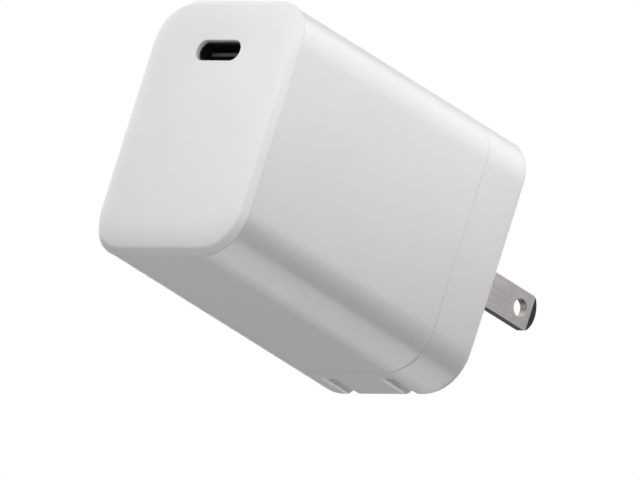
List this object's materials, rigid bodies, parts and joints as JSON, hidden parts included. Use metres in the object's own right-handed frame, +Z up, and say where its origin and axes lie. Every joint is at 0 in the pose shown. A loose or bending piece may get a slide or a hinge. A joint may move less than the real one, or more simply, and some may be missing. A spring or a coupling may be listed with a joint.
{
  "type": "usb-c plug-in wall charger",
  "caption": "Rounded block-shaped plug-in wall charger with one USB-C port in its front cap and two flat mains blades that fold down into slots at the rear.",
  "frame": {"origin": "centre of the outlet (rear) face, midway between the two blades and on their centreline", "axes": "+X to the right seen from the port side, +Y out of the outlet face along the deployed blades, +Z up, towards the edge nearest the USB-C port"},
  "size_m": [0.0322, 0.0738, 0.043],
  "materials": {
    "shell_plastic": "satin off-white moulded polycarbonate with a very fine texture",
    "cap_plastic": "satin off-white moulded polycarbonate, slightly smoother than the shell",
    "inner_plastic": "plain natural-white moulded plastic",
    "black_plastic": "matte black glass-filled plastic",
    "blade_metal": "nickel-plated, fine brushed along the blade, with bright bevelled edges",
    "screw_steel": "zinc-plated self-tapping screw",
    "spring_steel": "bare spring steel strip",
    "contact_brass": "phosphor-bronze contact strip",
    "board": "green solder mask over glass-fibre board",
    "port_steel": "black-plated receptacle shell",
    "port_plastic": "black moulded tongue with gold contact pads",
    "ferrite": "dark grey sintered ferrite",
    "winding_tape": "yellow polyester tape over the winding",
    "choke_core": "green coated toroid",
    "copper_wire": "enamelled copper wire",
    "film_capacitor": "yellow moulded box",
    "disc_capacitor": "blue dipped disc",
    "fuse_body": "brown moulded body",
    "chip": "black epoxy package",
    "can_sleeve": "dark shrink sleeve",
    "can_metal": "bare aluminium can",
    "inductor": "grey pressed powder block",
    "optocoupler": "white epoxy package",
    "insulation_film": "cream insulating film",
    "copper_sheet": "thin copper heat spreader",
    "wire_line": "red insulated wire",
    "wire_neutral": "black insulated wire"
  },
  "bodies": {
    "housing": {"main_shell": "shell_plastic", "front_cap": "cap_plastic", "rear_cover": "shell_plastic", "carrier_retainer": "inner_plastic", "retainer_screw_left": "screw_steel", "retainer_screw_right": "screw_steel", "detent_spring": "spring_steel", "contact_spring_left": "contact_brass", "contact_spring_right": "contact_brass", "main_board": "board", "usb_board": "board", "usb_shell": "port_steel", "usb_tongue": "port_plastic", "transformer_core_lower": "ferrite", "transformer_core_upper": "ferrite", "transformer_bobbin": "black_plastic", "transformer_winding": "winding_tape", "choke_core": "choke_core", "choke_winding_upper": "copper_wire", "choke_winding_lower": "copper_wire", "x_capacitor": "film_capacitor", "y_capacitor": "disc_capacitor", "fuse": "fuse_body", "bridge_rectifier": "chip", "bulk_capacitor_lower": "can_sleeve", "bulk_capacitor_upper": "can_sleeve", "output_capacitor_left": "can_metal", "output_capacitor_right": "can_metal", "output_inductor": "inductor", "primary_switch": "chip", "sync_rectifier": "chip", "optocoupler": "optocoupler", "pd_controller": "chip", "insulation_sheet": "insulation_film", "heat_spreader": "copper_sheet", "line_wire": "wire_line", "neutral_wire": "wire_neutral"},
    "prongs": {"blade_carrier": "black_plastic", "blade_left": "blade_metal", "blade_right": "blade_metal"}
  },
  "joints": [
    {"name": "blade_fold", "type": "hinge", "parent": "housing", "child": "prongs", "pos_m": [0, -0.003, 0], "axis": [-1, 0, 0], "range_deg": [0, 90]}
  ]
}
